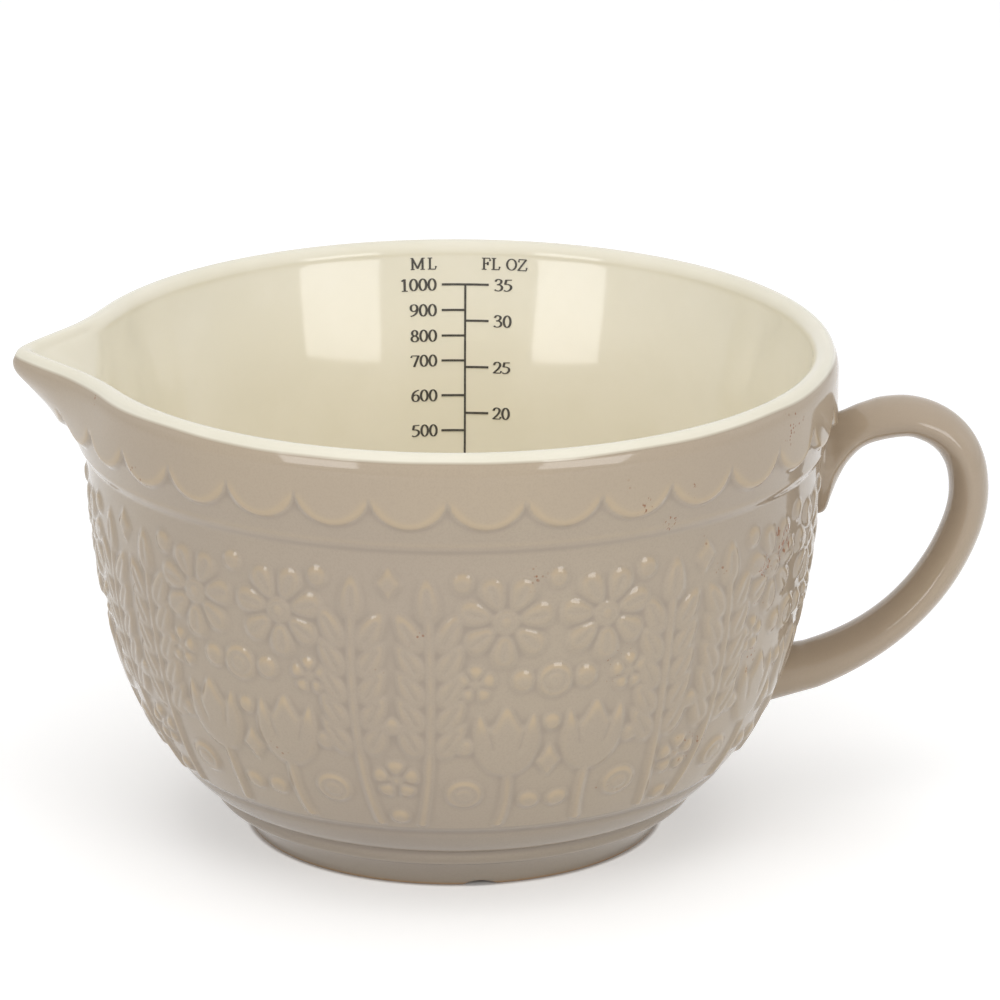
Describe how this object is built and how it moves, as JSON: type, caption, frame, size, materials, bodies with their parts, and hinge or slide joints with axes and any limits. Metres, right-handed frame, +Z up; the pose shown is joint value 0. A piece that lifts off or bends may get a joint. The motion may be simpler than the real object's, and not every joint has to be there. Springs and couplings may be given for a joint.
{
  "type": "batter bowl",
  "caption": "Round glazed stoneware batter bowl with a pulled pouring lip, a loop handle, a raised collar, a foot ring and a measuring scale on its inner wall.",
  "frame": {"origin": "centre of the foot ring, on the table", "axes": "+Z up, +X along the handle, so the pouring lip points along -X"},
  "size_m": [0.1961, 0.1536, 0.1],
  "materials": {
    "taupe_glaze": "gloss",
    "cream_glaze": "gloss",
    "glazed_slip": "gloss",
    "fired_ink": "satin"
  },
  "bodies": {
    "root": {"bowl_body": "taupe_glaze", "inner_glaze": "cream_glaze", "handle": "taupe_glaze", "upper_slip_joint": "glazed_slip", "lower_slip_joint": "glazed_slip", "scale_line": "fired_ink", "millilitre_ticks": "fired_ink", "fluid_ounce_ticks": "fired_ink"}
  },
  "joints": []
}
